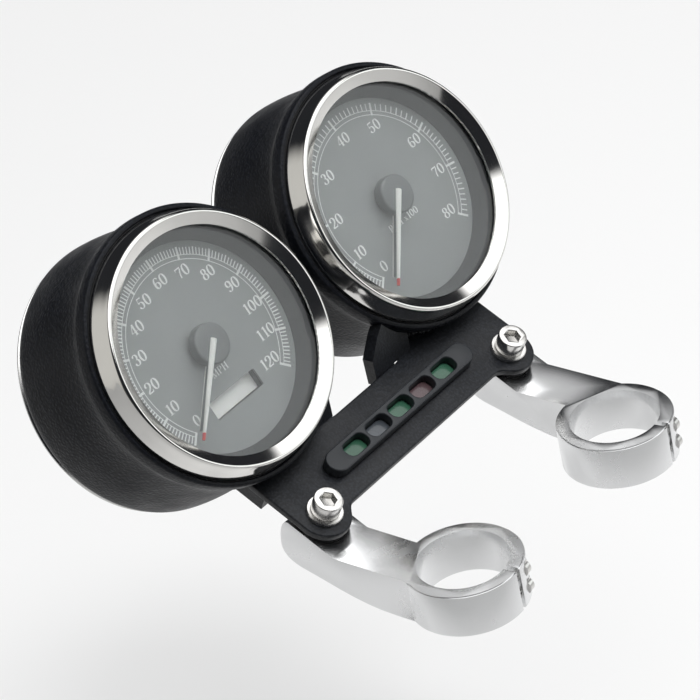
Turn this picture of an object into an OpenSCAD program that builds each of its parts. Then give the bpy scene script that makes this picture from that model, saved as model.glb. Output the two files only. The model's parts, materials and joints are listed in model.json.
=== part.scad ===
// Twin-gauge motorcycle instrument cluster: speedometer and tachometer in
// black cups on one mounting plate with a warning-lamp strip, carried by two
// polished clamp arms that grip a pair of handlebar riser tubes.
// Millimetres. +Z is up along the risers, +X to the rider's right, +Y forward.
// The origin is on the left riser clamp's bore axis, at half its height.

/* [Riser clamps] */
// centre distance of the two riser tubes
riser_spacing = 88.9; // [86:0.1:92]
// riser clamp bore radius
clamp_bore_r = 15.9; // [15.6:0.05:16.2]
// clamp ring outer radius
ring_r = 20.6; // [20:0.1:22]
// clamp ring height
ring_h = 16.3; // [14:0.1:18]
// clamp arm width
arm_w = 19; // [17:0.5:20]

/* [Gauges] */
// half of the gauge centre distance
gauge_x = 51.1; // [50.6:0.1:53]
// gauge crest centre, forward of the risers
gauge_y = 79.2; // [78:0.1:81]
// gauge crest centre, above the clamp ring tops
gauge_z = 72.0; // [70:0.1:74]
// gauge face tilt from level
gauge_tilt = 59.6; // [57:0.1:62]
// pointer length
pointer_len = 34.4; // [30:0.1:35.5]
// pointer rest angle of the speedometer, from straight up
speedo_zero = 132.5; // [125:0.5:140]
// pointer rest angle of the tachometer, from straight up
tach_zero = 137.5; // [130:0.5:142]

/* [Plate] */
// plate face tilt from level
plate_tilt = 29.2; // [27:0.1:31]
// plate thickness
plate_t = 3; // [2.5:0.1:3.5]
// warning lamp pitch
lamp_pitch = 12.5; // [12:0.1:12.8]
// lamp strip height above the plate
strip_h = 4.2; // [3:0.1:5]

/* [Hidden] */
$fn = 96;
e = 0.02;
hx = riser_spacing/2;
plate_y = 58.14;
plate_z = 14.57;
scr_x = 52.9;
scr_v = -9.2;
lug_r = 9.8;
cup_r = 49.05;
dial_z = -13.45;
iso_t = 1.5;

// ---- frames -------------------------------------------------------------
module W() { translate([hx, 0, ring_h/2]) children(); }
// gauge frame: z out of the glass, y up the dial, origin at the bezel crest
module G(s) { W() translate([s*gauge_x, gauge_y, gauge_z]) rotate([gauge_tilt, 0, 0]) children(); }
// plate frame: z out of the plate's face, y up the plate, origin mid-strip
module P() { W() translate([0, plate_y, plate_z]) rotate([plate_tilt, 0, 0]) children(); }
module both() { for (s = [-1, 1]) G(s) children(); }

// ---- helpers ------------------------------------------------------------
function bz(a, b, c, d, n) = [for (i = [1:n]) let (t = i/n, u = 1-t)
    u*u*u*a + 3*u*u*t*b + 3*u*t*t*c + t*t*t*d];
module tube(ro, ri, z0, z1) {
    translate([0, 0, z0]) difference() {
        cylinder(r = ro, h = z1-z0);
        translate([0, 0, -1]) cylinder(r = ri, h = z1-z0+2);
    }
}
module pill2(l, w) { // total length, total width
    translate([-(l-w)/2, -w/2]) square([l-w, w]);
    for (s = [-1, 1]) translate([s*(l-w)/2, 0]) circle(d = w);
}
module rrect(x, y, r) {
    translate([-x/2+r, -y/2]) square([x-2*r, y]);
    translate([-x/2, -y/2+r]) square([x, y-2*r]);
    for (i = [-1, 1], j = [-1, 1]) translate([i*(x/2-r), j*(y/2-r)]) circle(r = r);
}
module cap_screw(rh, hh, rs, ls, af, dp) { // head up, seat at z = 0
    difference() {
        union() {
            cylinder(r = rh, h = hh-0.7);
            translate([0, 0, hh-0.7]) cylinder(r1 = rh, r2 = rh-0.6, h = 0.7);
        }
        translate([0, 0, hh-dp]) cylinder(r = af/sqrt(3), h = dp+1, $fn = 6);
    }
    translate([0, 0, -ls]) cylinder(r = rs, h = ls);
}

// ---- bezel, glass, ring, dial ------------------------------------------
module bezel() {
    rotate_extrude($fn = 160) polygon(concat(
        [[39.6, -2.35]], [[43.0, -0.2]],
        bz([43.0, -0.2], [43.35, 0.02], [43.9, 0.05], [44.35, -0.45], 5),
        bz([44.35, -0.45], [44.75, -0.9], [45.0, -2.4], [45.5, -4.0], 4),
        [[46.6, -7.6], [46.6, -9.0], [44.75, -9.0], [44.75, -8.5], [45.75, -8.5], [45.75, -7.75],
         [44.65, -4.1], [43.85, -1.6], [43.3, -1.2], [39.85, -3.2], [39.6, -3.2]]));
}
module gasket() {
    rotate_extrude($fn = 128) polygon([[39.75, -3.25], [42.2, -3.25], [43.9, -3.25], [43.9, -6.05],
        [43.1, -6.05], [43.1, -3.78], [39.75, -3.78]]);
}
module lens_() { translate([0, 0, -6.05]) cylinder(r = 43.05, h = 2.25, $fn = 128); }
module spacer() {
    rotate_extrude($fn = 128) polygon([[40.4, -6.12], [42.9, -6.12], [42.9, -13.4], [36.7, -13.4], [36.7, -12.9]]);
}
module dial(lcd) {
    difference() {
        translate([0, 0, -14.25]) cylinder(r = 42.9, h = 0.8, $fn = 128);
        translate([0, 0, -15]) cylinder(r = 1.6, h = 3);
        if (lcd) translate([0, -19.4, -15]) linear_extrude(3) rrect(23.5, 6.5, 0.5);
        translate([0, 41.6, -15]) cylinder(r = 0.8, h = 3, $fn = 32);
    }
}
module lcd_() {
    translate([0, -19.4, -19.95]) {
        translate([-13.6, -5, 0]) cube([27.2, 10, 1.6]);
        translate([-12.4, -3.9, 1.6]) cube([24.8, 7.8, 1.2]);
    }
}

// ---- moving pointer -----------------------------------------------------
module pointer(a0) {
    rotate([0, 0, a0]) translate([0, 0, -7.88]) {
        linear_extrude(0.5) polygon([[-1.2, -1.4], [1.2, -1.4], [1.15, 3], [0.52, pointer_len-0.4],
            [0.2, pointer_len], [-0.2, pointer_len], [-0.52, pointer_len-0.4], [-1.15, 3]]);
        // stiffening web under the blade
        translate([-0.25, 7.8, -2.9]) cube([0.5, pointer_len-11.5, 2.95]);
        translate([0, 0, 0.5]) linear_extrude(0.45) polygon([[-0.7, -1.1], [0.7, -1.1], [0.65, 3],
            [0.2, pointer_len-0.6], [-0.2, pointer_len-0.6], [-0.65, 3]]);
    }
}
module pointer_cap() {
    difference() {
        rotate_extrude() polygon([[0.78, -12.4], [6.6, -12.4], [7.2, -11.9], [7.2, -8.5], [6.8, -7.95], [6.2, -7.9], [0.78, -7.9]]);
        translate([0, 0, -13]) cylinder(r = 3.2, h = 1.6);
    }
}
module shaft() { translate([0, 0, -38.8]) cylinder(r = 0.75, h = 30.7, $fn = 48); }
module rotor() { tube(5, 0.77, -36, -31); }

// ---- movement and electronics ------------------------------------------
module movement() {
    difference() {
        union() {
            translate([0, 0, -39.5]) cylinder(r = 10.5, h = 14);
            // feet up to the board, clear of the windings
            for (a = [45, 135, 225, 315]) rotate([0, 0, a]) translate([9.7, 0, -25.6]) cylinder(r = 1.2, h = 3.9, $fn = 32);
        }
        translate([0, 0, -37.2]) cylinder(r = 5.8, h = 8.2);
        translate([0, 0, -38.95]) cylinder(r = 0.8, h = 20, $fn = 48);
    }
}
module coil_loop(o, i, z0, z1, t) { // one half winding round X-Z
    translate([0, 0, z0]) difference() {
        translate([-o, 0, 0]) cube([2*o, 4, z1-z0]);
        translate([-i, -1, t]) cube([2*i, 6, z1-z0-2*t]);
    }
}
module coils() {
    for (y = [1.4, -5.4]) translate([0, y, 0]) coil_loop(12.2, 10.8, -41, -24, 1.4);
    rotate([0, 0, 90]) for (y = [1.4, -5.4]) translate([0, y, 0]) coil_loop(12.2, 10.8, -42.5, -22.5, 1.4);
}
module board() {
    difference() {
        translate([0, 0, -21.6]) cylinder(r = 41.2, h = 1.6);
        translate([0, 0, -23]) cylinder(r = 1.6, h = 4, $fn = 48);
        for (s = [-1, 1]) translate([s*36, 0, -23]) cylinder(r = 1.7, h = 4, $fn = 32);
    }
}
module dial_lamp() { translate([0, 0, -19.98]) { translate([-2, -1.6, 0]) cube([4, 3.2, 1.6]); translate([0, 0, 1.6]) cylinder(r1 = 1.4, r2 = 1.0, h = 0.8, $fn = 32); } }
module dial_lamps4() { for (a = [20, 110, 160, 250, 340]) rotate([0, 0, a]) translate([30, 0, 0]) dial_lamp(); }
module can() {
    difference() {
        rotate_extrude($fn = 128) polygon([[0, -47], [43.4, -47], [44.38, -46], [44.38, -8.42], [45.3, -8.42],
            [45.3, -7.62], [44.38, -7.62], [44.38, -6.1], [43.1, -6.1], [43.1, -14.3], [41.8, -14.3], [41.8, -45.4], [0, -45.4]]);
        translate([-8, -4, -48]) cube([16, 8, 4]);
    }
}
module sleeve() {
    rotate_extrude($fn = 128) polygon([[44.42, -9.05], [46.7, -9.05], [46.7, -9.35], [45.15, -9.35], [45.15, -24], [44.42, -24]]);
}
module connector() {
    difference() {
        union() {
            translate([0, 0, -60]) linear_extrude(12.95) rrect(24, 14, 1.5);
            translate([-3, 6, -59]) cube([6, 2.4, 4]);
        }
        for (i = [0:5], j = [0:1]) translate([(i-2.5)*3.2, (j-0.5)*5, -61]) cylinder(r = 0.95, h = 8, $fn = 24);
    }
}
module pins12() {
    for (i = [0:5], j = [0:1]) translate([(i-2.5)*3.2, (j-0.5)*5, -59.4]) cylinder(r = 0.85, h = 6.3, $fn = 24);
}

// ---- cup, cover ---------------------------------------------------------
module cup() {
    difference() {
        rotate_extrude($fn = 160) polygon(concat(
            [[45.2, -9.4], [46.85, -9.4], [47.1, -8.5]],
            bz([47.1, -8.5], [47.4, -7.9], [48.6, -7.9], [48.9, -9.0], 4),
            [[48.95, -13.0]],
            bz([48.95, -13.0], [48.9, -14.6], [47.7, -15.4], [47.4, -17.5], 5),
            bz([47.4, -17.5], [47.1, -22], [47.6, -28], [48.3, -34], 5),
            bz([48.3, -34], [48.8, -39], [49.0, -44], [48.9, -48], 4),
            bz([48.9, -48], [48.9, -51.2], [47.9, -53.0], [46.0, -53.2], 6),
            [[31, -53.2], [31, -51], [45.2, -51]]));
    }
}
module rear_cover(btn) {
    difference() {
        rotate_extrude($fn = 128) polygon([[0, -53.25], [47.2, -53.25], [47.75, -53.7], [47.75, -54.2], [47.2, -54.75], [0, -54.75]]);
        translate([0, 0, -56]) linear_extrude(4) rrect(26, 18, 1.5);
        for (s = [-1, 1]) translate([s*24, 10, -56]) cylinder(r = 2.7, h = 4, $fn = 48);
        if (btn) translate([0, -24, -56]) cylinder(r = 5.1, h = 4);
    }
}
module stud() { translate([0, 0, -61]) cylinder(r = 2.5, h = 13.98, $fn = 48); translate([0, 0, -47.9]) cylinder(r = 4, h = 0.88, $fn = 48); }
module nut() {
    difference() {
        translate([0, 0, -58.8]) cylinder(r = 4.62, h = 4, $fn = 6);
        translate([0, 0, -60]) cylinder(r = 2.52, h = 6, $fn = 48);
    }
}

// ---- trip reset ---------------------------------------------------------
module trip_switch() {
    translate([0, -24, 0]) difference() {
        union() {
            translate([0, 0, -60]) cylinder(r = 5, h = 12.95);
            translate([0, 0, -57.2]) cylinder(r = 7, h = 2.4, $fn = 6);
        }
        translate([0, 0, -61]) cylinder(r = 2.05, h = 12, $fn = 48);
    }
}
module trip_button() {
    translate([0, -24, 0]) {
        translate([0, 0, -64]) cylinder(r = 2, h = 11.5, $fn = 48);
        rotate_extrude($fn = 64) polygon([[0, -67], [3.4, -67], [4, -66.3], [4, -63.2], [3.8, -63], [0, -63]]);
    }
}

// ---- mounting plate -----------------------------------------------------
module both_cut(c) { // the cups' outer skins, grown by c
    for (s = [-1, 1]) G(s) rotate_extrude($fn = 128) polygon([[0, 3], [49.05+c, 3], [49.05+c, -13.3],
        [48.85+c, -14.1], [48.4+c, -15.1], [47.9+c, -16.2], [47.6+c, -17.2], [47.4+c, -18], [47.4+c, -24], [48.5+c, -34], [49.05+c, -40], [49.05+c, -53], [0, -53]]);
}
function lug_half() = concat(
    [for (a = [0:-6:-126]) [scr_x+lug_r*cos(a), scr_v+lug_r*sin(a)]],
    bz([scr_x+lug_r*cos(-126), scr_v+lug_r*sin(-126)], [45.0, -15.4], [43.6, -12.8], [40.4, -12.8], 6));
function edge_half() = concat([[17, 14.5]], bz([17, 14.5], [21, 14.5], [22, 19], [28, 23], 6), [[58, 23], [62.7, 19]]);
module plate2() {
    right = concat(edge_half(), lug_half());
    n = len(right);
    difference() {
        polygon(concat(right, [for (i = [n-1:-1:0]) [-right[i][0], right[i][1]]]));
        for (s = [-1, 1]) translate([s*scr_x, scr_v]) circle(r = 3.3);
        pill2(66, 8);
        for (s = [-1, 1]) translate([s*36.4, 0]) circle(r = 1.7, $fn = 48);
    }
}
module mounting_plate() {
    difference() {
        P() translate([0, 0, -plate_t]) linear_extrude(plate_t) plate2();
        both_cut(0.05);
    }
}
// welded brackets from the plate's underside to the cups
module gussets() {
    difference() {
        union() {
            // upright webs behind the plate's upper edge, at the cups' inner sides
            W() translate([0, 75.4, 0]) rotate([90, 0, 0]) linear_extrude(4.5) {
                polygon([[6.2, 18.2], [25.9, 18.2], [25.9, 34], [17, 42], [11, 36], [6, 28.6]]);
                polygon([[-18.6, 18.2], [-18.6, 40], [-25.9, 34], [-25.9, 18.2]]);
            }
            // low brackets under the plate, at the cups' outer sides
            P() for (s = [-1, 1]) translate([s > 0 ? 57 : -62, 9, -8.5]) cube([5, 22, 8.5-plate_t-e]);
        }
        both_cut(0.05);
        P() translate([-30, -30, -plate_t-e]) cube([60, 44.52, plate_t+2*e]);
        P() for (x = [-30.5, 16.5]) translate([x, 5, -20]) cube([14, 25, 20+e]);
    }
}
// seam of a cup of radius r with the plate's face: a point at angle a from its lowest point
function seam(r, a) = [r*sin(a), (60.19-r*cos(a))/0.8625];
module weld_beads() {
    difference() {
        P() for (s = [-1, 1]) translate([s*gauge_x, 0, e]) linear_extrude(1.7)
            polygon(concat([for (a = [-14:4:30]) let (q = seam(50.0, a)) [-s*q[0], q[1]]],
                [for (a = [30:-4:-14]) let (q = seam(46.5, a)) [-s*q[0], q[1]]]));
        both_cut(0.06);
        P() translate([0, 0, 0.9]) for (s = [-1, 1]) translate([s*gauge_x, 0, 0]) linear_extrude(2)
            polygon(concat([for (a = [-18:4:34]) let (q = seam(52, a)) [-s*q[0], q[1]]],
                [for (a = [34:-4:-18]) let (q = seam(49.0, a)) [-s*q[0], q[1]]]));
    }
}

// ---- warning lamps ------------------------------------------------------
module lamps(list) { for (i = list) translate([(i-2)*lamp_pitch, 0, 0]) children(); }
module lamp_housing() {
    P() difference() {
        union() {
            translate([0, 0, e]) linear_extrude(strip_h-0.6-e) pill2(79, 9.2);
            translate([0, 0, strip_h-0.6]) linear_extrude(0.35) pill2(78.6, 8.8);
            translate([0, 0, strip_h-0.25]) linear_extrude(0.25) pill2(78, 8.2);
            translate([0, 0, -6]) linear_extrude(6.5) pill2(65.5, 7.7);
        }
        lamps([0:4]) translate([0, 0, -0.8]) linear_extrude(9) rrect(10.9, 6.1, 2.7);
        lamps([0:4]) translate([0, 0, -7]) linear_extrude(9) rrect(9.7, 5.0, 2.2);
        for (s = [-1, 1]) translate([s*36.4, 0, -1]) cylinder(r = 1.5, h = 4, $fn = 48);
    }
}
module lamp_lens(list) { P() lamps(list) translate([0, 0, -0.76]) { linear_extrude(1.1) rrect(10.8, 6.0, 2.65); translate([0, 0, 1.1]) linear_extrude(0.4) rrect(10.0, 5.2, 2.3); } }
module lamp_board() {
    P() translate([0, 0, -7.65]) linear_extrude(1.6) difference() { translate([-33.5, -4.4]) square([67, 8.8]); translate([-31.5, 3]) square([1, 3]); }
}
module lamp_leds() { P() lamps([0:4]) translate([0, 0, -6.03]) { translate([-1.75, -1.4, 0]) cube([3.5, 2.8, 1.2]); translate([0, 0, 1.2]) cylinder(r = 1.1, h = 0.6, $fn = 32); } }
module lamp_cover() {
    P() difference() {
        translate([0, 0, -11]) linear_extrude(11-plate_t-e) pill2(80, 13);
        translate([0, 0, -9.6]) linear_extrude(10) rrect(68.4, 10.6, 2);
        for (s = [-1, 1]) translate([s*36.4, 0, -12]) cylinder(r = 1.6, h = 12, $fn = 48);
        translate([28, 0, -12]) cylinder(r = 2.6, h = 4, $fn = 48);
    }
}
module lamp_screws() {
    P() for (s = [-1, 1]) translate([s*36.4, 0, -11-e]) rotate([180, 0, 0]) {
        difference() { cylinder(r = 2.75, h = 2); translate([0, 0, 0.8]) cylinder(r = 1.3, h = 3, $fn = 6); }
        translate([0, 0, -13]) cylinder(r = 1.45, h = 13, $fn = 48);
    }
}

// ---- bolted joints to the arms -----------------------------------------
module at_screws() { P() for (s = [-1, 1]) translate([s*scr_x, scr_v, 0]) children(); }
module mount_screws() { at_screws() translate([0, 0, 1.6+2*e]) cap_screw(5.1, 6, 2.95, 16, 5, 3.2); }
module mount_washers() { at_screws() tube(6.4, 3.2, e, 1.6+e); }
module isolators() {
    at_screws() difference() {
        tube(8.8, 3.3, -plate_t-iso_t+e, -plate_t-e);
        translate([0, 0, -plate_t-iso_t/2]) tube(10, 8.3, -0.25, 0.25);
    }
}
module arm(s) {
    pad = -plate_t-iso_t;
    c = cos(plate_tilt); n = sin(plate_tilt);
    // pad line in (y, z), measured from the ring top plane
    py0 = plate_y-pad*n; pz0 = plate_z+pad*c;
    yb = py0-pz0*c/n; // where the pad meets z = 0
    ve = 0.6;
    pe = [py0-ve*c-1.2, pz0-ve*n-0.7];
    prof = concat([[4, 0], [yb, 0]], [pe],
        bz(pe, [pe[0]+2.4, pe[1]+1.4-1.0], [63.3, 6], [63.9, -0.5], 8),
        bz([63.9, -0.5], [64.3, -4.8], [61, -7.6], [55.5, -8.9], 8),
        bz([55.5, -8.9], [47, -11], [36, -15.2], [24, -16.1], 6),
        [[16, -ring_h], [4, -ring_h]]);
    difference() {
        W() translate([s*hx, 0, 0]) {
            difference() {
                union() {
                    translate([0, 0, -ring_h]) cylinder(r = ring_r-0.5, h = ring_h, $fn = 128);
                    translate([0, 0, -ring_h+0.5]) cylinder(r = ring_r, h = ring_h-1, $fn = 128);
                    translate([s*(scr_x-hx)-arm_w/2, 0, 0]) rotate([90, 0, 90]) linear_extrude(arm_w) polygon(prof);
                }
                translate([0, 0, -ring_h-1]) cylinder(r = clamp_bore_r, h = ring_h+2, $fn = 128);
                // pinch slit at the rider's side
                rotate([0, 0, 8]) translate([-1, -ring_r-5, -ring_h-1]) cube([2, 10, ring_h+2]);
                // pinch screw holes and head seats
                for (z = [-4.6, -ring_h+4.6]) rotate([0, 0, 8]) translate([0, -18, z]) rotate([0, 90, 0]) {
                    translate([0, 0, -6.4]) cylinder(r = 1.55, h = 14, $fn = 48);
                    translate([0, 0, 5.5]) cylinder(r = 2.95, h = 20, $fn = 48);
                }
            }
        }
        // tapped hole under the lug
        P() translate([s*scr_x, scr_v, pad-12]) cylinder(r = 3.0, h = 20, $fn = 64);
    }
}
module pinch_screws() {
    for (s = [-1, 1], z = [-4.6, -ring_h+4.6]) W() translate([s*hx, 0, z]) rotate([0, 0, 8]) translate([0, -18, 0]) rotate([0, 90, 0])
        translate([0, 0, 5.52]) cap_screw(2.75, 3, 1.5, 11.6, 2.5, 1.6);
}

// ---- draw ---------------------------------------------------------------
module c_steel() { color([0.78, 0.78, 0.76]) children(); }
module c_black() { color([0.07, 0.075, 0.085]) children(); }
module c_rub() { color([0.03, 0.03, 0.03]) children(); }
module c_alu() { color([0.85, 0.86, 0.87]) children(); }
module c_brass() { color([0.75, 0.6, 0.3]) children(); }
module c_pcb() { color([0.05, 0.3, 0.15]) children(); }

c_steel() G(-1) bezel();  // speedo_bezel
c_rub() G(-1) gasket();  // speedo_gasket
color([0.9, 0.93, 0.95, 0.3]) G(-1) lens_();  // speedo_lens
c_black() G(-1) spacer();  // speedo_spacer
color([0.35, 0.36, 0.36]) G(-1) dial(true);  // speedo_dial
color([0.7, 0.72, 0.68]) G(-1) lcd_();  // speedo_lcd
color([0.95, 0.95, 0.92]) G(-1) pointer(speedo_zero);  // speedo_pointer
color([0.3, 0.31, 0.31]) G(-1) pointer_cap();  // speedo_pointer_cap
c_steel() G(-1) shaft();  // speedo_shaft
color([0.2, 0.2, 0.21]) G(-1) rotor();  // speedo_rotor
color([0.9, 0.9, 0.85]) G(-1) movement();  // speedo_movement
color([0.72, 0.4, 0.2]) G(-1) coils();  // speedo_coils
c_pcb() G(-1) board();  // speedo_board
color([0.1, 0.1, 0.1]) G(-1) can();  // speedo_can
c_rub() G(-1) sleeve();  // speedo_sleeve
c_black() G(-1) cup();  // speedo_cup
c_steel() G(-1) rear_cover(true);  // speedo_rear_cover
color([0.12, 0.12, 0.12]) G(-1) connector();  // speedo_connector
color([0.1, 0.1, 0.1]) G(-1) trip_switch();
c_rub() G(-1) trip_button();
c_steel() G(1) bezel();  // tach_bezel
c_rub() G(1) gasket();  // tach_gasket
color([0.9, 0.93, 0.95, 0.3]) G(1) lens_();  // tach_lens
c_black() G(1) spacer();  // tach_spacer
color([0.35, 0.36, 0.36]) G(1) dial(false);  // tach_dial
color([0.95, 0.95, 0.92]) G(1) pointer(tach_zero);  // tach_pointer
color([0.3, 0.31, 0.31]) G(1) pointer_cap();  // tach_pointer_cap
c_steel() G(1) shaft();  // tach_shaft
color([0.2, 0.2, 0.21]) G(1) rotor();  // tach_rotor
color([0.9, 0.9, 0.85]) G(1) movement();  // tach_movement
color([0.72, 0.4, 0.2]) G(1) coils();  // tach_coils
c_pcb() G(1) board();  // tach_board
color([0.1, 0.1, 0.1]) G(1) can();  // tach_can
c_rub() G(1) sleeve();  // tach_sleeve
c_black() G(1) cup();  // tach_cup
c_steel() G(1) rear_cover(false);  // tach_rear_cover
color([0.12, 0.12, 0.12]) G(1) connector();  // tach_connector
color([0.9, 0.9, 0.8]) both() dial_lamps4();  // dial_lamps
c_brass() both() pins12();  // connector_pins
c_steel() both() for (s = [-1, 1]) translate([s*24, 10, 0]) stud();  // can_studs
c_steel() both() for (s = [-1, 1]) translate([s*24, 10, 0]) nut();  // can_nuts
c_black() mounting_plate();
c_black() gussets();
c_black() weld_beads();
color([0.16, 0.17, 0.18]) lamp_housing();
color([0.15, 0.4, 0.22]) lamp_lens([0, 2, 4]);  // lamp_lens_green
color([0.5, 0.5, 0.5]) lamp_lens([1]);  // lamp_lens_clear
color([0.45, 0.15, 0.13]) lamp_lens([3]);  // lamp_lens_red
c_pcb() lamp_board();
color([0.9, 0.9, 0.85]) lamp_leds();
c_black() lamp_cover();
c_steel() lamp_screws();
c_steel() mount_screws();
c_steel() mount_washers();
c_rub() isolators();
c_alu() arm(-1);  // clamp_arm_left
c_alu() arm(1);  // clamp_arm_right
c_steel() pinch_screws();
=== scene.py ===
"""Looks of the twin-gauge motorcycle instrument cluster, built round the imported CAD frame."""
import json
import math

import bmesh
import bpy
from mathutils import Matrix, Vector

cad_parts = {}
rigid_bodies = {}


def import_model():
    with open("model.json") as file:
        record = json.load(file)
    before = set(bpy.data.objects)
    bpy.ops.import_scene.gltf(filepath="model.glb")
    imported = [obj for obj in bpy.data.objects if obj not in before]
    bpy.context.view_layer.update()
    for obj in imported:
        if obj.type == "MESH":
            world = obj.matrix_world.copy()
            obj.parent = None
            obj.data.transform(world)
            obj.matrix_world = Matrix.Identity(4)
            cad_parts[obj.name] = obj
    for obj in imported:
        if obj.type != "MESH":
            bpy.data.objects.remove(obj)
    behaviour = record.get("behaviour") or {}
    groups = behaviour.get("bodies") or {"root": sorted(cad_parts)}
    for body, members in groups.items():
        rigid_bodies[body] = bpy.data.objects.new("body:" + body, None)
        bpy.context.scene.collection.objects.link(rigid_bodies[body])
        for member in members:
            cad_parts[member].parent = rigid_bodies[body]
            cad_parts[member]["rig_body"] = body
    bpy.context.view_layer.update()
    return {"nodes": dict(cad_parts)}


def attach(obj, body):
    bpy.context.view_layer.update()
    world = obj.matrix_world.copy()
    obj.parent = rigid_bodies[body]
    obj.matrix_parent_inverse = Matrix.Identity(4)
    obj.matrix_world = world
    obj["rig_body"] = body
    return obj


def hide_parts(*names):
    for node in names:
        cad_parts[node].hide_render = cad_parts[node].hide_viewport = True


for o in list(bpy.data.objects):
    bpy.data.objects.remove(o)
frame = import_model()
NODES = frame["nodes"]
MM = 0.001


# ---------------------------------------------------------------- frames
def gauge(s):
    return (Matrix.Translation(Vector((44.45 + s * 51.1, 79.2, 80.15)) * MM)
            @ Matrix.Rotation(math.radians(59.6), 4, "X") @ Matrix.Scale(MM, 4))


def plate():
    return (Matrix.Translation(Vector((44.45, 58.14, 22.72)) * MM)
            @ Matrix.Rotation(math.radians(29.2), 4, "X") @ Matrix.Scale(MM, 4))


def at(m, x, y, z, rot=0.0):
    return m @ Matrix.Translation((x, y, z)) @ Matrix.Rotation(math.radians(rot), 4, "Z")


GS = {"speedo": gauge(-1), "tach": gauge(1)}
PL = plate()


# ---------------------------------------------------------------- mesh helpers
def mesh(name, verts, faces, xf, material, angle=32, body="cluster"):
    me = bpy.data.meshes.new(name)
    me.from_pydata([tuple(v) for v in verts], [], faces)
    me.transform(xf)
    bm = bmesh.new()
    bm.from_mesh(me)
    bmesh.ops.remove_doubles(bm, verts=bm.verts, dist=1e-7)
    bmesh.ops.recalc_face_normals(bm, faces=bm.faces)
    bm.to_mesh(me)
    bm.free()
    me.shade_smooth()
    me.set_sharp_from_angle(angle=math.radians(angle))
    ob = bpy.data.objects.new(name, me)
    bpy.context.scene.collection.objects.link(ob)
    if material:
        me.materials.append(material)
    if body:
        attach(ob, body)
    return ob


def lathe(name, prof, xf, material, n=256, angle=32, body="cluster"):
    """Closed profile of (r, z) turned round z."""
    verts, rows = [], []
    for r, z in prof:
        if r < 1e-6:
            rows.append([len(verts)] * n)
            verts.append((0, 0, z))
        else:
            rows.append(list(range(len(verts), len(verts) + n)))
            verts += [(r * math.cos(2 * math.pi * i / n), r * math.sin(2 * math.pi * i / n), z) for i in range(n)]
    faces = []
    for a, b in zip(rows, rows[1:] + rows[:1]):
        if a[0] == a[1] and b[0] == b[1]:
            continue
        for i in range(n):
            j = (i + 1) % n
            f = []
            for v in (a[i], a[j], b[j], b[i]):
                if v not in f:
                    f.append(v)
            faces.append(f)
    return mesh(name, verts, faces, xf, material, angle, body)


def bez(a, b, c, d, n):
    out = []
    for i in range(1, n + 1):
        t = i / n
        u = 1 - t
        out.append(tuple(u**3 * p + 3 * u * u * t * q + 3 * u * t * t * r + t**3 * s for p, q, r, s in zip(a, b, c, d)))
    return out


def circle(r, n=96, x=0.0, y=0.0):
    return [(x + r * math.cos(2 * math.pi * i / n), y + r * math.sin(2 * math.pi * i / n)) for i in range(n)]


def rrect(w, h, r, n=10, x=0.0, y=0.0):
    pts = []
    for cx, cy, a0 in ((w / 2 - r, h / 2 - r, 0), (-w / 2 + r, h / 2 - r, 90), (-w / 2 + r, -h / 2 + r, 180), (w / 2 - r, -h / 2 + r, 270)):
        for i in range(n + 1):
            a = math.radians(a0 + 90 * i / n)
            pts.append((x + cx + r * math.cos(a), y + cy + r * math.sin(a)))
    return pts


def slab(name, loops, z0, z1, bevel, xf, material, angle=30, body="cluster", steps=3):
    """Flat shape with holes from z0 to z1, its edges rounded by bevel."""
    cu = bpy.data.curves.new(name, "CURVE")
    cu.dimensions = "2D"
    cu.fill_mode = "BOTH"
    cu.extrude = (z1 - z0) / 2 - bevel
    cu.bevel_depth = bevel
    cu.bevel_resolution = steps
    cu.offset = -bevel
    for lp in loops:
        sp = cu.splines.new("POLY")
        sp.points.add(len(lp) - 1)
        for p, q in zip(sp.points, lp):
            p.co = (q[0], q[1], 0, 1)
        sp.use_cyclic_u = True
    tmp = bpy.data.objects.new(name + "_c", cu)
    bpy.context.scene.collection.objects.link(tmp)
    bpy.context.view_layer.update()
    dg = bpy.context.evaluated_depsgraph_get()
    me = bpy.data.meshes.new_from_object(tmp.evaluated_get(dg))
    bpy.data.objects.remove(tmp)
    bpy.data.curves.remove(cu)
    verts = [(v.co.x, v.co.y, v.co.z + (z0 + z1) / 2) for v in me.vertices]
    faces = [tuple(p.vertices) for p in me.polygons]
    bpy.data.meshes.remove(me)
    return mesh(name, verts, faces, xf, material, angle, body)


def join(name, parts):
    """One piece made of several meshes that share a material and a body."""
    bm = bmesh.new()
    for o in parts:
        bm.from_mesh(o.data)
    me = bpy.data.meshes.new(name)
    bm.to_mesh(me)
    bm.free()
    keep = parts[0]
    mat, body = keep.data.materials[0], keep["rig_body"]
    me.materials.append(mat)
    for o in parts:
        bpy.data.objects.remove(o)
    ob = bpy.data.objects.new(name, me)
    bpy.context.scene.collection.objects.link(ob)
    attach(ob, body)
    return ob


def prisms(name, polys, z0, z1, xf, material, body="cluster"):
    verts, faces = [], []
    for p in polys:
        k, n = len(verts), len(p)
        verts += [(x, y, z1) for x, y in p] + [(x, y, z0) for x, y in p]
        faces.append(list(range(k, k + n)))
        faces.append(list(range(k + 2 * n - 1, k + n - 1, -1)))
        for i in range(n):
            j = (i + 1) % n
            faces.append([k + i, k + n + i, k + n + j, k + j])
    me = bpy.data.meshes.new(name)
    me.from_pydata(verts, [], faces)
    me.transform(xf)
    me.materials.append(material)
    ob = bpy.data.objects.new(name, me)
    bpy.context.scene.collection.objects.link(ob)
    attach(ob, body)
    return ob


# ---------------------------------------------------------------- materials
def new_mat(name):
    m = bpy.data.materials.new(name)
    m.use_nodes = True
    nt = m.node_tree
    b = nt.nodes["Principled BSDF"]
    return m, nt, b


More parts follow.
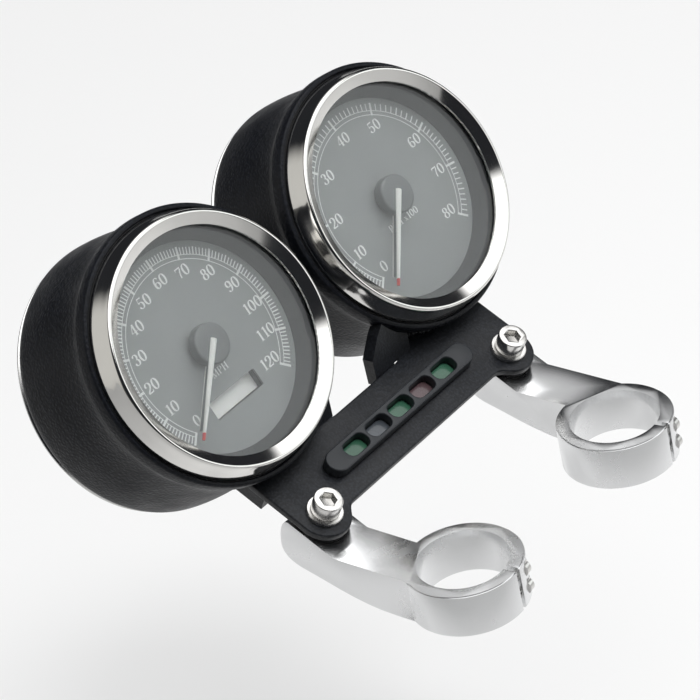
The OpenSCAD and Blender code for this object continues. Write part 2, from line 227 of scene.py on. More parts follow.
def coords(nt, scale=1.0, stretch=(1, 1, 1)):
    tc = nt.nodes.new("ShaderNodeTexCoord")
    mp = nt.nodes.new("ShaderNodeMapping")
    mp.inputs["Scale"].default_value = [scale * k for k in stretch]
    nt.links.new(tc.outputs["Object"], mp.inputs["Vector"])
    return mp.outputs["Vector"]


def noise(nt, vec, scale, detail=3.0, rough=0.55):
    n = nt.nodes.new("ShaderNodeTexNoise")
    n.inputs["Scale"].default_value = scale
    n.inputs["Detail"].default_value = detail
    n.inputs["Roughness"].default_value = rough
    nt.links.new(vec, n.inputs["Vector"])
    return n.outputs["Fac"]


def ramp(nt, fac, stops):
    r = nt.nodes.new("ShaderNodeValToRGB")
    el = r.color_ramp.elements
    while len(el) < len(stops):
        el.new(0.5)
    for e, (p, c) in zip(el, stops):
        e.position = p
        e.color = c if len(c) == 4 else (*c, 1)
    nt.links.new(fac, r.inputs["Fac"])
    return r.outputs["Color"]


def mapr(nt, fac, lo, hi, a=0.0, b=1.0):
    r = nt.nodes.new("ShaderNodeMapRange")
    r.inputs["From Min"].default_value = a
    r.inputs["From Max"].default_value = b
    r.inputs["To Min"].default_value = lo
    r.inputs["To Max"].default_value = hi
    nt.links.new(fac, r.inputs["Value"])
    return r.outputs["Result"]


def bump(nt, b, height, dist, strength=1.0, prev=None):
    n = nt.nodes.new("ShaderNodeBump")
    n.inputs["Distance"].default_value = dist
    n.inputs["Strength"].default_value = strength
    nt.links.new(height, n.inputs["Height"])
    if prev:
        nt.links.new(prev, n.inputs["Normal"])
    nt.links.new(n.outputs["Normal"], b.inputs["Normal"])
    return n.outputs["Normal"]


def plain(name, base, rough, metal=0.0, vary=0.06, grain=0.02, gscale=1800, tint=0.06, spec=0.5, coat=0.0):
    """A surface with uneven roughness, faint tint changes and fine grain."""
    m, nt, b = new_mat(name)
    v = coords(nt)
    big = noise(nt, v, 60, 4)
    fine = noise(nt, v, gscale, 3)
    nt.links.new(mapr(nt, big, max(0.01, rough - vary), rough + vary, 0.3, 0.7), b.inputs["Roughness"])
    d = [max(0, c * (1 - tint)) for c in base]
    u = [min(1, c * (1 + tint)) for c in base]
    nt.links.new(ramp(nt, big, [(0.3, d), (0.7, u)]), b.inputs["Base Color"])
    b.inputs["Metallic"].default_value = metal
    b.inputs["Specular IOR Level"].default_value = spec
    if coat:
        b.inputs["Coat Weight"].default_value = coat
        b.inputs["Coat Roughness"].default_value = 0.06
    if grain:
        bump(nt, b, fine, grain * MM, 0.6)
    return m


def polished(name, base, rough, lines=(1, 1, 1), lscale=900, depth=0.004, smudge=0.5):
    """Bright metal with fine machining lines and faint smudges."""
    m, nt, b = new_mat(name)
    b.inputs["Metallic"].default_value = 1.0
    v = coords(nt)
    vl = coords(nt, 1.0, lines)
    ln = noise(nt, vl, lscale, 2)
    sm = noise(nt, v, 45, 5, 0.65)
    nt.links.new(mapr(nt, sm, rough, rough * (1 + 2.2 * smudge), 0.45, 0.75), b.inputs["Roughness"])
    d = [c * 0.94 for c in base]
    nt.links.new(ramp(nt, sm, [(0.35, d), (0.6, base)]), b.inputs["Base Color"])
    bump(nt, b, ln, depth * MM, 0.5)
    return m


def wrinkle(name, base, cell=1.25, depth=0.16, rough=0.42, spec=0.5):
    """Black crinkle coat: soft rounded cells with deep narrow creases, the creases painted darker as painted shade."""
    m, nt, b = new_mat(name)
    v = coords(nt)
    warp = nt.nodes.new("ShaderNodeTexNoise")
    warp.inputs["Scale"].default_value = 420 / cell
    warp.inputs["Detail"].default_value = 2
    nt.links.new(v, warp.inputs["Vector"])
    mix = nt.nodes.new("ShaderNodeVectorMath")
    mix.operation = "MULTIPLY_ADD"
    mix.inputs[1].default_value = (0.0016 * cell,) * 3
    nt.links.new(warp.outputs["Color"], mix.inputs[0])
    nt.links.new(v, mix.inputs[2])
    vo = nt.nodes.new("ShaderNodeTexVoronoi")
    vo.feature = "SMOOTH_F1"
    vo.inputs["Scale"].default_value = 1000 / cell
    vo.inputs["Smoothness"].default_value = 0.35
    nt.links.new(mix.outputs["Vector"], vo.inputs["Vector"])
    fine = noise(nt, v, 2600, 3)
    big = noise(nt, v, 90, 3)
    inv = mapr(nt, vo.outputs["Distance"], 1.0, 0.0, 0.0, 0.75)
    # painted shade: base colour darkened to 0.45 towards the cell borders, in the creases
    nt.links.new(ramp(nt, inv, [(0.1, [c * 0.45 for c in base]), (0.8, base)]), b.inputs["Base Color"])
    nt.links.new(mapr(nt, big, rough - 0.07, rough + 0.08, 0.3, 0.7), b.inputs["Roughness"])
    first = bump(nt, b, inv, depth * MM, 0.85)
    bump(nt, b, fine, 0.02 * MM, 0.5, first)
    b.inputs["Specular IOR Level"].default_value = spec
    return m


def glass(name):
    m, nt, b = new_mat(name)
    v = coords(nt)
    b.inputs["Base Color"].default_value = (0.97, 0.985, 0.98, 1)
    b.inputs["Transmission Weight"].default_value = 1.0
    b.inputs["IOR"].default_value = 1.5
    nt.links.new(mapr(nt, noise(nt, v, 35, 4), 0.0, 0.012, 0.4, 0.8), b.inputs["Roughness"])
    return m


M = {
    "bezel": polished("polished_bezel", (0.80, 0.79, 0.765), 0.085, (1, 1, 1), 1500, 0.0015, 0.5),
    "cup": wrinkle("wrinkle_cup", (0.008, 0.0095, 0.014), 1.15, 0.12, 0.40, 0.20),
    "plate": wrinkle("wrinkle_plate", (0.016, 0.018, 0.0225), 0.95, 0.06, 0.42, 0.36),
    "cover": polished("polished_cover", (0.76, 0.76, 0.75), 0.16, (1, 1, 1), 700, 0.003, 0.6),
    "alu": polished("polished_alu", (0.80, 0.805, 0.81), 0.17, (1, 0.06, 1), 1400, 0.006, 0.6),
    "steel": polished("stainless_fastener", (0.72, 0.71, 0.69), 0.17, (1, 1, 1), 2600, 0.004, 0.7),
    # painted reflection: the dial's black face is set mid-grey to stand in for part of the glass's veiling reflection
    "dial": plain("dial_face", (0.29, 0.303, 0.303), 0.5, 0, 0.05, 0.012, 3000, 0.05, 0.4),
    "print": plain("dial_print", (0.86, 0.87, 0.86), 0.5, 0, 0.05, 0.0, 1000, 0.03, 0.3),
    "spacer": plain("spacer_black", (0.035, 0.037, 0.04), 0.45, 0, 0.06, 0.02, 2200),
    "pointer": plain("pointer_white", (0.90, 0.90, 0.87), 0.38, 0, 0.06, 0.008, 3000, 0.03),
    "tip": plain("pointer_red", (0.72, 0.03, 0.025), 0.36, 0, 0.06, 0.008, 3000, 0.05),
    # painted reflection: the black cap is set dark grey to stand in for part of the glass's veiling reflection
    "cap": plain("cap_black", (0.16, 0.168, 0.17), 0.42, 0, 0.06, 0.015, 2600),
    "lcd": plain("lcd_grey", (0.97, 0.97, 0.94), 0.22, 0, 0.04, 0.006, 2500, 0.04),
    "rubber": plain("rubber_black", (0.02, 0.02, 0.021), 0.62, 0, 0.08, 0.03, 1700),
    "plastic": plain("black_plastic", (0.03, 0.031, 0.033), 0.40, 0, 0.07, 0.02, 2000),
    "housing": plain("lamp_housing_black", (0.021, 0.0235, 0.027), 0.38, 0, 0.07, 0.018, 2600, spec=0.42),
    "pcb": plain("circuit_board", (0.015, 0.11, 0.05), 0.3, 0, 0.07, 0.02, 1500),
    "copper": plain("copper_wire", (0.62, 0.26, 0.11), 0.3, 1.0, 0.08, 0.03, 2600),
    "brass": plain("brass_contact", (0.72, 0.52, 0.22), 0.25, 1.0, 0.06, 0.01, 2600),
    "cream": plain("bobbin_cream", (0.75, 0.73, 0.65), 0.45, 0, 0.07, 0.02, 2000),
    "dark": plain("can_paint", (0.02, 0.02, 0.022), 0.45, 0, 0.07, 0.02, 2000),
    "green": plain("lens_green", (0.026, 0.086, 0.052), 0.24, 0, 0.05, 0.02, 1500, 0.30, 0.5, 0.3),
    "clear": plain("lens_clear", (0.052, 0.060, 0.070), 0.26, 0, 0.05, 0.02, 1500, 0.25, 0.5, 0.3),
    "red": plain("lens_red", (0.062, 0.038, 0.042), 0.24, 0, 0.05, 0.02, 1500, 0.30, 0.5, 0.3),
    "glass": glass("gauge_glass"),
}


def paint(material, *names):
    for n in names:
        me = NODES[n].data
        me.materials.clear()
        me.materials.append(material)


def keep(piece, slot, *nodes):
    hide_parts(*nodes)
    return piece


for g in ("speedo", "tach"):
    paint(M["rubber"], g + "_gasket", g + "_sleeve")
    paint(M["glass"], g + "_lens")
    paint(M["spacer"], g + "_spacer")
    paint(M["dial"], g + "_dial")
    paint(M["cap"], g + "_pointer_cap")
    paint(M["steel"], g + "_shaft")
    paint(M["dark"], g + "_rotor", g + "_can")
    paint(M["cream"], g + "_movement")
    paint(M["copper"], g + "_coils")
    paint(M["pcb"], g + "_board")
    paint(M["cover"], g + "_rear_cover")
    paint(M["plastic"], g + "_connector")
paint(M["lcd"], "speedo_lcd")
paint(M["plastic"], "trip_switch")
paint(M["rubber"], "trip_button", "isolators")
paint(M["cream"], "dial_lamps", "lamp_leds")
paint(M["brass"], "connector_pins")
paint(M["steel"], "can_studs", "can_nuts", "lamp_screws", "mount_washers", "pinch_screws")
paint(M["pcb"], "lamp_board")
paint(M["plate"], "lamp_cover", "gussets")
paint(M["alu"], "clamp_arm_left", "clamp_arm_right")


# ---------------------------------------------------------------- bezels, cups, glass
BEZEL = ([(39.6, -2.35)] + [(43.0, -0.2)]
         + bez((43.0, -0.2), (43.35, 0.02), (43.9, 0.05), (44.35, -0.45), 10)
         + bez((44.35, -0.45), (44.75, -0.9), (45.0, -2.4), (45.5, -4.0), 10)
         + bez((45.5, -4.0), (46.0, -5.6), (46.35, -6.8), (46.55, -7.7), 6)
         + bez((46.55, -7.7), (46.62, -8.1), (46.62, -8.7), (46.35, -9.0), 5)
         + [(44.75, -9.0), (44.75, -8.5), (45.75, -8.5), (45.75, -7.75), (44.65, -4.1), (43.85, -1.6),
            (43.3, -1.2), (39.85, -3.2), (39.6, -3.2)])
CUP = ([(45.2, -9.4), (46.85, -9.4), (47.1, -8.5)]
       + bez((47.1, -8.5), (47.4, -7.9), (48.6, -7.9), (48.9, -9.0), 10)
       + [(48.95, -13.0)]
       + bez((48.95, -13.0), (48.9, -14.6), (47.7, -15.4), (47.4, -17.5), 12)
       + bez((47.4, -17.5), (47.1, -22), (47.6, -28), (48.3, -34), 12)
       + bez((48.3, -34), (48.8, -39), (49.0, -44), (48.9, -48), 12)
       + bez((48.9, -48), (48.9, -51.2), (47.9, -53.0), (46.0, -53.2), 12)
       + [(31, -53.2), (31, -51), (45.2, -51)])
for g, xf in GS.items():
    keep(lathe(g + "_bezel_skin", BEZEL, xf, M["bezel"], 320, 40), "polished_bezel", g + "_bezel")
    keep(lathe(g + "_cup_skin", [(r - 0.025, z) for r, z in CUP], xf, M["cup"], 288, 40), "wrinkle_black", g + "_cup")
    keep(lathe(g + "_glass_disc", [(0, -6.04), (42.9, -6.04), (43.04, -5.9), (43.04, -3.94), (42.9, -3.8), (0, -3.8)], xf, M["glass"], 256, 30),
         "clear_glass", g + "_lens")
    cap = ([(0.8, -12.4), (6.6, -12.4)] + bez((6.6, -12.4), (7.0, -12.3), (7.2, -12.0), (7.2, -11.4), 5)
           + [(7.2, -9.0)] + bez((7.2, -9.0), (7.2, -8.2), (6.9, -7.92), (6.0, -7.9), 8) + [(0.8, -7.9)])
    keep(lathe(g + "_cap_turned", cap, xf, M["cap"], 128, 35, g + "_needle"), "cap_black", g + "_pointer_cap")


# ---------------------------------------------------------------- dial print
def arc(cx, cy, rx, ry, a0, a1, n=18):
    return [(cx + rx * math.cos(math.radians(a0 + (a1 - a0) * i / n)), cy + ry * math.sin(math.radians(a0 + (a1 - a0) * i / n)))
            for i in range(n + 1)]


def flip(strokes):
    return [([(0.72 - x, 1 - y) for x, y in p], w) for p, w in strokes]


SIX = [(arc(0.40, 0.50, 0.27, 0.46, 58, 270, 24), None), (arc(0.37, 0.29, 0.23, 0.26, 0, 360, 28), None),
       (arc(0.56, 0.86, 0.035, 0.035, 0, 360, 10), 0.07)]
GLYPHS = {
    "0": ([(arc(0.36, 0.5, 0.25, 0.47, 0, 360, 32), None)], 0.74),
    "1": ([([(0.36, 0.02), (0.36, 0.98)], None), ([(0.34, 0.97), (0.17, 0.84)], 0.07), ([(0.17, 0.025), (0.55, 0.025)], 0.05)], 0.62),
    "2": ([(arc(0.35, 0.70, 0.23, 0.265, 190, -25, 20) + bez((0.56, 0.59), (0.50, 0.38), (0.22, 0.24), (0.12, 0.06), 8), None),
           ([(0.10, 0.055), (0.62, 0.055)], 0.11), ([(0.61, 0.05), (0.645, 0.24)], 0.05),
           (arc(0.155, 0.67, 0.035, 0.035, 0, 360, 10), 0.07)], 0.74),
    "3": ([(arc(0.34, 0.74, 0.19, 0.225, 160, -90, 20), None), (arc(0.34, 0.265, 0.23, 0.25, 90, -165, 22), None),
           (arc(0.18, 0.80, 0.03, 0.03, 0, 360, 10), 0.07), (arc(0.14, 0.22, 0.035, 0.035, 0, 360, 10), 0.07)], 0.72),
    "4": ([([(0.46, 0.97), (0.07, 0.30)], 0.06), ([(0.05, 0.29), (0.68, 0.29)], 0.06), ([(0.47, 0.98), (0.47, 0.02)], None),
           ([(0.31, 0.025), (0.63, 0.025)], 0.05)], 0.74),
    "5": ([([(0.16, 0.94), (0.58, 0.94)], 0.11), ([(0.17, 0.96), (0.15, 0.50)], 0.05),
           (arc(0.33, 0.32, 0.24, 0.28, 132, -160, 22), None), (arc(0.14, 0.21, 0.035, 0.035, 0, 360, 10), 0.07)], 0.72),
    "6": (SIX, 0.74),
    "7": ([([(0.09, 0.92), (0.64, 0.92)], 0.12), ([(0.10, 0.97), (0.085, 0.72)], 0.05),
           (bez((0.64, 0.90), (0.50, 0.66), (0.32, 0.40), (0.33, 0.02), 10), 0.12)], 0.70),
    "8": ([(arc(0.36, 0.745, 0.19, 0.215, 0, 360, 28), None), (arc(0.36, 0.27, 0.235, 0.245, 0, 360, 28), None)], 0.74),
    "9": (flip(SIX), 0.74),
    "M": ([([(0.12, 0.0), (0.12, 1.0)], 0.06), ([(0.14, 1.0), (0.46, 0.04)], 0.17), ([(0.46, 0.04), (0.80, 1.0)], 0.055),
           ([(0.82, 0.0), (0.82, 1.0)], 0.17), ([(0.02, 0.025), (0.24, 0.025)], 0.05), ([(0.68, 0.025), (0.97, 0.025)], 0.05)], 1.04),
    "P": ([([(0.18, 0.0), (0.18, 1.0)], 0.17), ([(0.06, 0.975), (0.38, 0.975)], 0.05), (arc(0.38, 0.74, 0.20, 0.235, 90, -90, 16), None),
           ([(0.38, 0.505), (0.18, 0.505)], 0.05), ([(0.06, 0.025), (0.34, 0.025)], 0.05)], 0.74),
    "H": ([([(0.18, 0.0), (0.18, 1.0)], 0.17), ([(0.66, 0.0), (0.66, 1.0)], 0.17), ([(0.18, 0.51), (0.66, 0.51)], 0.05),
           ([(0.05, 0.025), (0.32, 0.025)], 0.05), ([(0.52, 0.025), (0.80, 0.025)], 0.05),
           ([(0.05, 0.975), (0.32, 0.975)], 0.05), ([(0.52, 0.975), (0.80, 0.975)], 0.05)], 0.90),
    "x": ([([(0.10, 0.66), (0.50, 0.03)], 0.14), ([(0.50, 0.66), (0.10, 0.03)], 0.06)], 0.62),
    " ": ([], 0.38),
}
GLYPHS["R"] = (GLYPHS["P"][0] + [([(0.36, 0.50), (0.62, 0.04)], 0.15), ([(0.58, 0.03), (0.72, 0.03)], 0.05)], 0.80)


def ribbon(pts, w, thick=0.185, thin=0.055):
    left, right = [], []
    closed = math.dist(pts[0], pts[-1]) < 1e-6
    n = len(pts)
    for i in range(n):
        a = pts[i - 1] if i > 0 else (pts[-2] if closed else pts[0])
        b = pts[i + 1] if i < n - 1 else (pts[1] if closed else pts[-1])
        dx, dy = b[0] - a[0], b[1] - a[1]
        q = math.hypot(dx, dy) or 1
        dx, dy = dx / q, dy / q
        h = (w if w else thin + (thick - thin) * abs(dy) ** 1.7) / 2
        left.append((pts[i][0] - dy * h, pts[i][1] + dx * h))
        right.append((pts[i][0] + dy * h, pts[i][1] - dx * h))
    return [[left[i], right[i], right[i + 1], left[i + 1]] for i in range(n - 1)]


def text(s, x, y, h, squeeze=1.0):
    """Polygons of a word centred on x, y, with cap height h."""
    width = sum(GLYPHS[c][1] for c in s) * h * squeeze
    ox, out = x - width / 2, []
    for c in s:
        strokes, adv = GLYPHS[c]
        for p, w in strokes:
            out += [[(ox + u * h * squeeze, y + (v - 0.5) * h) for u, v in q] for q in ribbon(p, w)]
        ox += adv * h * squeeze
    return out


def ray(a, r):
    return (r * math.sin(math.radians(a)), r * math.cos(math.radians(a)))


def tick(a, r0, r1, w):
    (x0, y0), (x1, y1) = ray(a, r0), ray(a, r1)
    nx, ny = math.cos(math.radians(a)) * w / 2, -math.sin(math.radians(a)) * w / 2
    return [(x0 - nx, y0 - ny), (x0 + nx, y0 + ny), (x1 + nx, y1 + ny), (x1 - nx, y1 - ny)]


def band(a0, a1, r, w):
    n = max(2, int(abs(a1 - a0) / 2))
    return [[ray(a0 + (a1 - a0) * i / n, r - w / 2), ray(a0 + (a1 - a0) * i / n, r + w / 2),
             ray(a0 + (a1 - a0) * (i + 1) / n, r + w / 2), ray(a0 + (a1 - a0) * (i + 1) / n, r - w / 2)] for i in range(n)]


def speed_angle(v):
    return -133.2 + 2.22 * v


REV = (-133.2, -109.8, -79.0, -43.8, -6.6, 28.0, 67.2, 98.0, 131.8)


def rev_angle(v):
    k = min(7, int(v // 10))
    return REV[k] + (REV[k + 1] - REV[k]) * (v - 10 * k) / 10


def dial_marks(angle, top):
    out = band(angle(0), angle(top), 30.4, 0.26) + band(angle(0), angle(top), 31.9, 0.26)
    for v in range(0, top + 1):
        if v % 10 == 0:
            out.append(tick(angle(v), 30.2, 34.8, 0.85))
        elif v % 5 == 0:
            out.append(tick(angle(v), 31.9, 34.7, 0.5))
        else:
            out.append(tick(angle(v), 31.9, 34.5, 0.42))
    for v in range(0, top + 1, 10):
        x, y = ray(angle(v), 26.2)
        out += text(str(v), x, y + 0.2, 4.0, 1.04)
    return out


Z = -13.45
marks = dial_marks(speed_angle, 120) + text("MPH", 0, -9.4, 2.6, 1.15)
prisms("speedo_print", marks, Z + 0.005, Z + 0.045, GS["speedo"], M["print"])
marks = dial_marks(rev_angle, 80) + text("RPM x100", 0, -9.3, 2.6, 1.08)
prisms("tach_print", marks, Z + 0.005, Z + 0.045, GS["tach"], M["print"])

# window frame of the display
slab("speedo_lcd_mask", [rrect(25.6, 8.6, 0.9, 6, 0, -19.4), rrect(23.4, 6.4, 0.45, 6, 0, -19.4)], -17.1, -14.27, 0.05, GS["speedo"], M["spacer"])


# ---------------------------------------------------------------- needles
def blade(r0, r1, w0, w1, zb, zt):
    """Ridge-topped pointer blade from r0 to r1 along +y."""
    v = []
    for y, w in ((r0, w0), (r1, w1)):
        v += [(-w / 2, y, zb), (w / 2, y, zb), (w / 2, y, zb + 0.45), (w * 0.22, y, zt), (-w * 0.22, y, zt), (-w / 2, y, zb + 0.45)]
    f = [(i, (i + 1) % 6, 6 + (i + 1) % 6, 6 + i) for i in range(6)] + [tuple(range(5, -1, -1)), tuple(range(6, 12))]
    return v, f


for g, zero in (("speedo", 132.5), ("tach", 137.5)):
    xf = at(GS[g], 0, 0, 0, zero)
    v, f = blade(-1.4, 31.9, 2.3, 1.12, -7.88, -6.95)
    keep(mesh(g + "_blade", v, f, xf, M["pointer"], 20, g + "_needle"), "pointer_white", g + "_pointer")
    # painted shade: the web under the white blade takes the dark cap colour for the pointer's shaded side, with a white
    # foot below
    v, f = blade(7.9, 30.6, 0.42, 0.42, -10.3, -7.88)
    mesh(g + "_blade_web", v, f, xf, M["cap"], 20, g + "_needle")
    v, f = blade(7.9, 30.6, 0.62, 0.5, -10.75, -10.3)
    mesh(g + "_blade_foot", v, f, xf, M["pointer"], 20, g + "_needle")
    v, f = blade(31.9, 34.4, 1.12, 0.9, -7.88, -6.97)
    mesh(g + "_blade_tip", v, f, xf, M["tip"], 20, g + "_needle")


# ---------------------------------------------------------------- plate and seams
def arc2(cx, cy, r, a0, a1, n):
    return [(cx + r * math.cos(math.radians(a0 + (a1 - a0) * i / n)), cy + r * math.sin(math.radians(a0 + (a1 - a0) * i / n))) for i in range(n + 1)]


def seam(r, a):
    return (r * math.sin(math.radians(a)), (60.19 - r * math.cos(math.radians(a))) / 0.8625)


lug = arc2(52.9, -9.2, 9.8, 0, -126, 40)
right = ([(17, 14.5)] + bez((17, 14.5), (20.5, 14.5), (21.5, 17.5), (25.4, 20.6), 8)
         + [(51.1 + x, y) for x, y in (seam(47.35, a) for a in range(-32, 15, 2))] + [(62.7, 13.6)] + lug
         + bez(lug[-1], (45.0, -15.4), (43.6, -12.8), (40.4, -12.8), 12))
outline = right + [(-x, y) for x, y in reversed(right)]
pill = rrect(66, 8, 3.99, 12)
slab_ = slab("plate_body", [outline, circle(3.3, 64, 52.9, -9.2), circle(3.3, 64, -52.9, -9.2), pill], -3, 0, 0.7, PL, M["plate"], 35, steps=4)
keep(slab_, "wrinkle_black", "mounting_plate")


def bead(s):
    """Weld bead in the corner of plate and cup, with its ripples."""
    verts, faces, n, k = [], [], 260, 14
    for i in range(n + 1):
        a = -14.0 + 44.0 * i / n
        fade = min(1, (1 - abs(2 * i / n - 1)) * 9) ** 0.5
        rip = 1 + 0.10 * math.sin(i * 0.62) + 0.05 * math.sin(i * 1.37 + 1)
        wob = 0.22 * math.sin(i * 0.11) + 0.12 * math.sin(i * 0.31 + 2)
        x, y = seam(47.9 + wob, a)
        t = math.radians(a)
        ox, oy = math.sin(t), -math.cos(t)
        for j in range(k):
            b = 2 * math.pi * j / k
            d = 1.55 * rip * fade * math.cos(b)
            h = 1.25 * rip * fade * math.sin(b)
            verts.append((-s * (x + ox * d), y + oy * d, 0.25 + h))
    for i in range(n):
        for j in range(k):
            a, b = i * k + j, i * k + (j + 1) % k
            faces.append((a, b, b + k, a + k))
    faces += [tuple(range(k)), tuple(range(n * k + k - 1, n * k - 1, -1))]
    return mesh("bead_%s" % ("right" if s > 0 else "left"), verts, faces, at(PL, s * 51.1, 0, 0), M["plate"], 60)


keep(join("weld_seams", [bead(-1), bead(1)]), "wrinkle_black", "weld_beads")

# ---------------------------------------------------------------- lamp strip
wins = [rrect(10.9, 6.1, 2.7, 8, (i - 2) * 12.5, 0) for i in range(5)]
top = slab("strip_top", [rrect(79, 9.2, 4.59, 20)] + wins, 0.02, 4.2, 0.55, PL, M["housing"], 35, steps=4)
floor_ = slab("strip_floor", [rrect(65.5, 7.7, 3.8, 12)] + [rrect(9.7, 5.0, 2.2, 8, (i - 2) * 12.5, 0) for i in range(5)], -6, -0.8, 0.05, PL, M["housing"], 35)
keep(join("lamp_strip", [top, floor_]), "lamp_housing_black", "lamp_housing")


def window(i, colour):
    verts, faces, rows = [], [], 7
    out = rrect(1, 1, 0.25, 8)
    n = len(out)
    for k in range(rows):
        t = k / (rows - 1)
        u = math.cos(t * math.pi / 2)
        for x, y in out:
            verts.append((x * 10.78 * (1 - (1 - u) * 0.16), y * 5.98 * (1 - (1 - u) * 0.22), 0.2 + 0.5 * math.sin(t * math.pi / 2)))
    for k in range(rows - 1):
        for j in range(n):
            a, b = k * n + j, k * n + (j + 1) % n
            faces.append((a, b, b + n, a + n))
    faces.append(tuple((rows - 1) * n + j for j in range(n)))
    base = len(verts)
    verts += [(x * 10.78, y * 5.98, -0.76) for x, y in out]
    faces += [(base + j, base + (j + 1) % n, (j + 1) % n, j) for j in range(n)]
    faces.append(tuple(base + j for j in reversed(range(n))))
    return mesh("window_%d" % i, verts, faces, at(PL, (i - 2) * 12.5, 0, 0), colour, 40)


keep(join("windows_green", [window(i, M["green"]) for i in (0, 2, 4)]), "lens_green", "lamp_lens_green")
keep(window(1, M["clear"]), "lens_clear", "lamp_lens_clear")
keep(window(3, M["red"]), "lens_red", "lamp_lens_red")


# ---------------------------------------------------------------- cap screws
def cap_screw(name, m, rh, hh, rs, ls, af, dp, knurl=0):
    n = 144
    out = [((rh + (0.06 if knurl and i % 4 < 2 else -0.02 if knurl else 0)) * math.cos(2 * math.pi * i / n),
            (rh + (0.06 if knurl and i % 4 < 2 else -0.02 if knurl else 0)) * math.sin(2 * math.pi * i / n)) for i in range(n)]
    hexa = [(af / math.sqrt(3) * math.cos(math.radians(60 * i + 11)), af / math.sqrt(3) * math.sin(math.radians(60 * i + 11))) for i in range(6)]
    parts = [slab(name + "_h", [circle(rh, 128), hexa], 0, hh, 0.5, m, M["steel"], 35, steps=3)]
    parts.append(lathe(name + "_f", [(0, 0.1), (af / 2 + 0.5, 0.1), (af / 2 + 0.5, hh - dp), (0, hh - dp - 0.9)], m, M["steel"], 48))
    parts.append(lathe(name + "_s", [(0, -ls), (rs - 0.4, -ls), (rs, -ls + 0.4), (rs, 0), (0, 0)], m, M["steel"], 64))
    return parts


ps = []
for s in (-1, 1):
    ps += cap_screw("m6", at(PL, s * 52.9, -9.2, 1.64), 5.1, 6, 2.95, 16, 5, 3.2)
keep(join("cap_screws", ps), "steel", "mount_screws")
ws = [lathe("w", [(3.2, 0.02), (6.25, 0.02), (6.4, 0.17), (6.4, 1.35), (6.15, 1.62), (3.2, 1.62)], at(PL, s * 52.9, -9.2, 0), M["steel"], 128) for s in (-1, 1)]
keep(join("washers", ws), "steel", "mount_washers")


# ---------------------------------------------------------------- clamp arms with eased edges
def eased(node, width):
    src = NODES[node]
    me = src.data.copy()
    bm = bmesh.new()
    bm.from_mesh(me)
    bmesh.ops.remove_doubles(bm, verts=bm.verts, dist=2e-7)
    bmesh.ops.dissolve_limit(bm, angle_limit=math.radians(0.6), verts=bm.verts, edges=bm.edges)
    bm.to_mesh(me)
    bm.free()
    ob = bpy.data.objects.new(node + "_eased", me)
    bpy.context.scene.collection.objects.link(ob)
    bv = ob.modifiers.new("ease", "BEVEL")
    bv.width = width * MM
    bv.segments = 3
    bv.limit_method = "ANGLE"
    bv.angle_limit = math.radians(35)
    bv.harden_normals = False
    bpy.context.view_layer.update()
    me2 = bpy.data.meshes.new_from_object(ob.evaluated_get(bpy.context.evaluated_depsgraph_get()))
    bpy.data.objects.remove(ob)
    me2.shade_smooth()
    me2.set_sharp_from_angle(angle=math.radians(33))
    me2.materials.clear()
    me2.materials.append(M["alu"])
    ob = bpy.data.objects.new(node + "_eased", me2)
    bpy.context.scene.collection.objects.link(ob)
    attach(ob, "cluster")
    return ob


keep(eased("clamp_arm_left", 0.35), "polished_alu", "clamp_arm_left")
keep(eased("clamp_arm_right", 0.35), "polished_alu", "clamp_arm_right")

# ---------------------------------------------------------------- stage
fl = bpy.data.meshes.new("floor")
fl.from_pydata([(-6, -6, -0.16), (6, -6, -0.16), (6, 6, -0.16), (-6, 6, -0.16)], [], [(0, 1, 2, 3)])
fm, fnt, fb = new_mat("floor_painted_glow")
fb.inputs["Base Color"].default_value = (0.46, 0.46, 0.46, 1)
fb.inputs["Roughness"].default_value = 0.8
fv = coords(fnt)
# painted light: the floor glows by emission, strongest round a point under the object and fading outward
gl = fnt.nodes.new("ShaderNodeVectorMath")
gl.operation = "DISTANCE"
gl.inputs[1].default_value = (0.34, 0.38, -0.16)
fnt.links.new(fv, gl.inputs[0])
glow = fnt.nodes.new("ShaderNodeMapRange")
glow.interpolation_type = "SMOOTHSTEP"
glow.inputs["From Min"].default_value = 0.80
glow.inputs["From Max"].default_value = 0.40
glow.inputs["To Min"].default_value = 0.03
glow.inputs["To Max"].default_value = 0.42
fnt.links.new(gl.outputs["Value"], glow.inputs["Value"])
fb.inputs["Emission Color"].default_value = (1, 1, 1, 1)
fnt.links.new(glow.outputs["Result"], fb.inputs["Emission Strength"])
fl.materials.append(fm)
floor = bpy.data.objects.new("floor", fl)
bpy.context.scene.collection.objects.link(floor)

centre = Vector((0.04445, 0.062, 0.046))


def softbox(name, pos, size, power, aim=centre, colour=(1, 1, 1)):
    li = bpy.data.lights.new(name, "AREA")
    li.shape = "RECTANGLE"
    li.size, li.size_y = size
    li.energy = power
    li.color = colour
    ob = bpy.data.objects.new(name, li)
    ob.location = pos
    ob.rotation_mode = "QUATERNION"
    ob.rotation_quaternion = (Vector(aim) - Vector(pos)).to_track_quat("-Z", "Y")
    bpy.context.scene.collection.objects.link(ob)
    return ob


def direction(az, el):
    a, e = math.radians(az), math.radians(el)
    return Vector((math.cos(e) * math.cos(a), math.cos(e) * math.sin(a), math.sin(e)))


key = softbox("key", centre + direction(-62, 62) * 1.2, (0.34, 0.34), 8)
key.visible_glossy = False

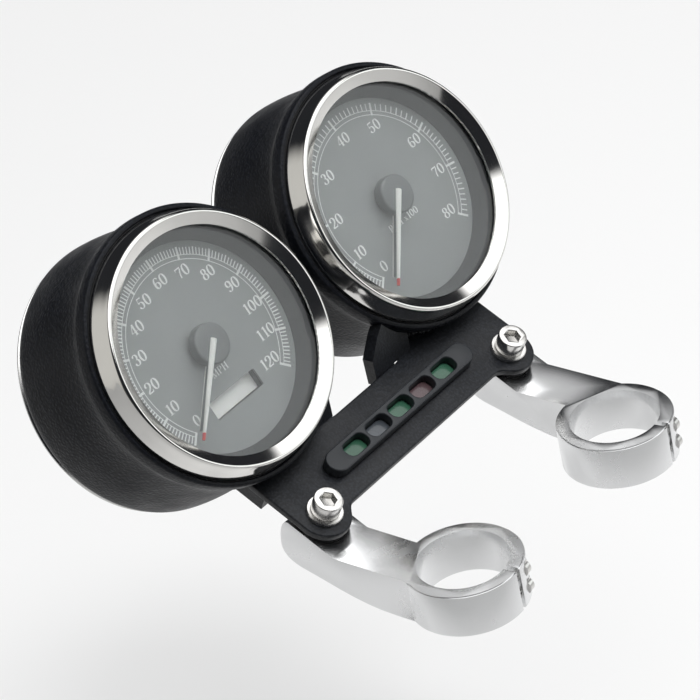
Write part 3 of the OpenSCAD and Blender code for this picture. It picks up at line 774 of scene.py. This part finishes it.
# studio round the object: (azimuth, elevation, half angle, soft edge, radiance, colour)
SKY = [
    (-60, 76, 38, 4, 1.75, (1.0, 1.0, 1.0)),
    (-52, 15, 21, 5, 1.35, (0.97, 1.0, 1.0)),
    (140, 20, 30, 9, 0.62, (1.0, 0.985, 0.94)),
    (178, -22, 22, 8, 0.30, (1.0, 0.98, 0.90)),
    (78, -16, 16, 5, 1.3, (1.0, 1.0, 1.0)),
    (-20, -24, 26, 8, 0.22, (1.0, 1.0, 1.0)),
    (41, 51, 18, 8, 0.62, (1.0, 1.0, 1.0)),
]
world = bpy.data.worlds.new("studio")
world.use_nodes = True
wt = world.node_tree
bg = wt.nodes["Background"]
bg.inputs["Strength"].default_value = 1.0
tc = wt.nodes.new("ShaderNodeTexCoord")
total = None
for az, el, half, soft, power, colour in SKY:
    dot = wt.nodes.new("ShaderNodeVectorMath")
    dot.operation = "DOT_PRODUCT"
    dot.inputs[1].default_value = direction(az, el)
    wt.links.new(tc.outputs["Generated"], dot.inputs[0])
    mr = wt.nodes.new("ShaderNodeMapRange")
    mr.interpolation_type = "SMOOTHSTEP"
    mr.inputs["From Min"].default_value = math.cos(math.radians(half + soft))
    mr.inputs["From Max"].default_value = math.cos(math.radians(half - soft))
    wt.links.new(dot.outputs["Value"], mr.inputs["Value"])
    sc = wt.nodes.new("ShaderNodeVectorMath")
    sc.operation = "MULTIPLY_ADD"
    sc.inputs[1].default_value = [power * c for c in colour]
    sc.inputs[2].default_value = (0.02, 0.021, 0.024) if total is None else (0, 0, 0)
    wt.links.new(mr.outputs["Result"], sc.inputs[0])
    if total is not None:
        wt.links.new(total, sc.inputs[2])
    total = sc.outputs["Vector"]
wt.links.new(total, bg.inputs["Color"])
bpy.context.scene.world = world

# ---------------------------------------------------------------- camera
R = Matrix(((0.58353946, -0.79579892, -0.16182021), (-0.54993352, -0.24061929, -0.79979715), (0.59754064, 0.55570356, -0.57804735)))
pos = Vector((-0.61402, -0.58557, 0.61772))
cam_rot = Matrix((R[0], -R[1], -R[2])).transposed()
turn = Vector(R[2]).rotation_difference((Vector((0.03663, 0.06657, 0.05143)) - pos).normalized()).to_matrix()
cam_data = bpy.data.cameras.new("camera")
cam_data.sensor_width = 36
cam_data.lens = 112.585 * 1.45
cam_data.clip_start = 0.05
cam = bpy.data.objects.new("camera", cam_data)
cam.matrix_world = Matrix.Translation(pos) @ (turn @ cam_rot).to_4x4()
bpy.context.scene.collection.objects.link(cam)
bpy.context.scene.camera = cam
bpy.context.scene.view_settings.view_transform = "Standard"
